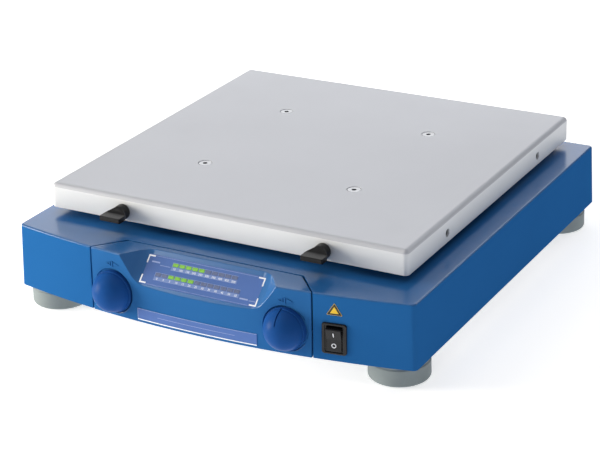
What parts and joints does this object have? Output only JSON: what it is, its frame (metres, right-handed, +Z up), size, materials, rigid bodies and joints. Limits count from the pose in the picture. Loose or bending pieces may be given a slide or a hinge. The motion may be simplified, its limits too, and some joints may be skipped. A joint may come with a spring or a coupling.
{
  "type": "orbital shaker",
  "caption": "Low blue orbital shaker with a square metal tray on eccentric supports, two domed knobs, a sloped display and a rocker switch.",
  "frame": {"origin": "centre of the footprint on the surface the feet stand on", "axes": "+Z up, +X to the right seen from the front, -Y towards the control panel"},
  "size_m": [0.37, 0.41, 0.1],
  "materials": {
    "housing_paint": "semi-gloss mid-blue powder coat",
    "panel_paint": "semi-gloss mid-blue moulding",
    "knob_plastic": "satin deep blue",
    "tray_metal": "satin, clear coated",
    "foot_rubber": "matte grey",
    "plate_steel": "zinc plated",
    "cast_alloy": "as cast",
    "screw_steel": "bright",
    "shaft_steel": "ground",
    "bearing_steel": "polished",
    "bush_bronze": "plain sintered bronze",
    "weight_iron": "machined",
    "motor_iron": "painted dark grey",
    "transformer_iron": "laminated and varnished",
    "belt_rubber": "matte",
    "display_film": "printed film",
    "lamp_lit": "lit",
    "lamp_unlit": "unlit",
    "sticker_yellow": "printed film",
    "board_green": "solder resist",
    "cable_grey": "insulation",
    "component_grey": "moulded",
    "black_plastic": "moulded",
    "wing_plastic": "fine texture",
    "pin_brass": "plated"
  },
  "bodies": {
    "base": {"housing_shell": "housing_paint", "control_panel": "panel_paint", "bottom_plate": "plate_steel", "chassis_frame": "cast_alloy", "foot_front_left": "foot_rubber", "foot_front_right": "foot_rubber", "foot_rear_left": "foot_rubber", "foot_rear_right": "foot_rubber", "foot_screws": "screw_steel", "housing_screws": "screw_steel", "chassis_screws": "screw_steel", "display_window": "display_film", "lamps_lit": "lamp_lit", "lamps_unlit": "lamp_unlit", "label_strip": "display_film", "marker_sticker": "sticker_yellow", "control_board": "board_green", "power_board": "board_green", "transformer": "transformer_iron", "ribbon_cable": "cable_grey", "mains_lead": "cable_grey", "speed_potentiometer": "component_grey", "timer_potentiometer": "component_grey", "switch_frame": "black_plastic", "inlet_body": "black_plastic", "inlet_pins": "pin_brass", "motor_body": "motor_iron", "motor_bracket": "plate_steel", "drive_belt": "belt_rubber", "main_bearing_outer_rings": "bearing_steel", "main_bearing_balls": "bearing_steel", "base_bushes": "bush_bronze"},
    "crank": {"crank_shaft": "shaft_steel", "drive_pulley": "cast_alloy", "counterweight": "weight_iron", "crank_bearing_inner_rings": "bearing_steel"},
    "motor_rotor": {"motor_shaft": "shaft_steel", "motor_pulley": "cast_alloy"},
    "tray_carriage": {"tray": "tray_metal", "carrier_frame": "cast_alloy", "tray_screws": "screw_steel", "side_inserts": "screw_steel", "carrier_bearing_ring": "bearing_steel", "carrier_bearing_balls": "bearing_steel", "carrier_bushes": "bush_bronze", "splash_caps": "black_plastic"},
    "wing_left": {"wing_knob_left": "wing_plastic", "lock_cam_left": "screw_steel"},
    "wing_right": {"wing_knob_right": "wing_plastic", "lock_cam_right": "screw_steel"},
    "speed_dial": {"speed_knob": "knob_plastic", "speed_spindle": "screw_steel"},
    "timer_dial": {"timer_knob": "knob_plastic", "timer_spindle": "screw_steel"},
    "rocker": {"power_rocker": "black_plastic"},
    "idler_front_left": {"idler_crank_front_left": "shaft_steel"},
    "idler_front_right": {"idler_crank_front_right": "shaft_steel"},
    "idler_rear_left": {"idler_crank_rear_left": "shaft_steel"},
    "idler_rear_right": {"idler_crank_rear_right": "shaft_steel"}
  },
  "joints": [
    {"name": "crank_spin", "type": "hinge", "parent": "base", "child": "crank", "pos_m": [0, 0.0284, 0.042], "axis": [0, 0, 1], "continuous": true},
    {"name": "tray_orbit", "type": "hinge", "parent": "crank", "child": "tray_carriage", "pos_m": [-0.005, 0.0284, 0.084], "axis": [0, 0, 1], "continuous": true},
    {"name": "motor_spin", "type": "hinge", "parent": "base", "child": "motor_rotor", "pos_m": [0, 0.1484, 0.04], "axis": [0, 0, 1], "continuous": true},
    {"name": "idler_front_left_spin", "type": "hinge", "parent": "base", "child": "idler_front_left", "pos_m": [-0.11, -0.0816, 0.04], "axis": [0, 0, 1], "continuous": true},
    {"name": "idler_front_right_spin", "type": "hinge", "parent": "base", "child": "idler_front_right", "pos_m": [0.11, -0.0816, 0.04], "axis": [0, 0, 1], "continuous": true},
    {"name": "idler_rear_left_spin", "type": "hinge", "parent": "base", "child": "idler_rear_left", "pos_m": [-0.11, 0.1384, 0.04], "axis": [0, 0, 1], "continuous": true},
    {"name": "idler_rear_right_spin", "type": "hinge", "parent": "base", "child": "idler_rear_right", "pos_m": [0.11, 0.1384, 0.04], "axis": [0, 0, 1], "continuous": true},
    {"name": "wing_left_turn", "type": "hinge", "parent": "tray_carriage", "child": "wing_left", "pos_m": [-0.099, -0.15, 0.087], "axis": [0, 1, 0], "range_deg": [-90, 90]},
    {"name": "wing_right_turn", "type": "hinge", "parent": "tray_carriage", "child": "wing_right", "pos_m": [0.089, -0.15, 0.087], "axis": [0, 1, 0], "range_deg": [-90, 90]},
    {"name": "speed_turn", "type": "hinge", "parent": "base", "child": "speed_dial", "pos_m": [0.08, -0.19, 0.0385], "axis": [0, 1, 0], "range_deg": [-130, 140]},
    {"name": "timer_turn", "type": "hinge", "parent": "base", "child": "timer_dial", "pos_m": [-0.08, -0.19, 0.0385], "axis": [0, 1, 0], "range_deg": [-5, 265]},
    {"name": "rocker_tilt", "type": "hinge", "parent": "base", "child": "rocker", "pos_m": [0.12033, -0.17985, 0.03642], "axis": [0.9899, 0.1415, 0], "range_deg": [-16, 0]}
  ],
  "couplings": [
    {"joint": "tray_orbit", "follows": "crank_spin", "ratio": -1},
    {"joint": "motor_spin", "follows": "crank_spin", "ratio": 4.5833},
    {"joint": "idler_front_left_spin", "follows": "crank_spin", "ratio": 1},
    {"joint": "idler_front_right_spin", "follows": "crank_spin", "ratio": 1},
    {"joint": "idler_rear_left_spin", "follows": "crank_spin", "ratio": 1},
    {"joint": "idler_rear_right_spin", "follows": "crank_spin", "ratio": 1}
  ]
}
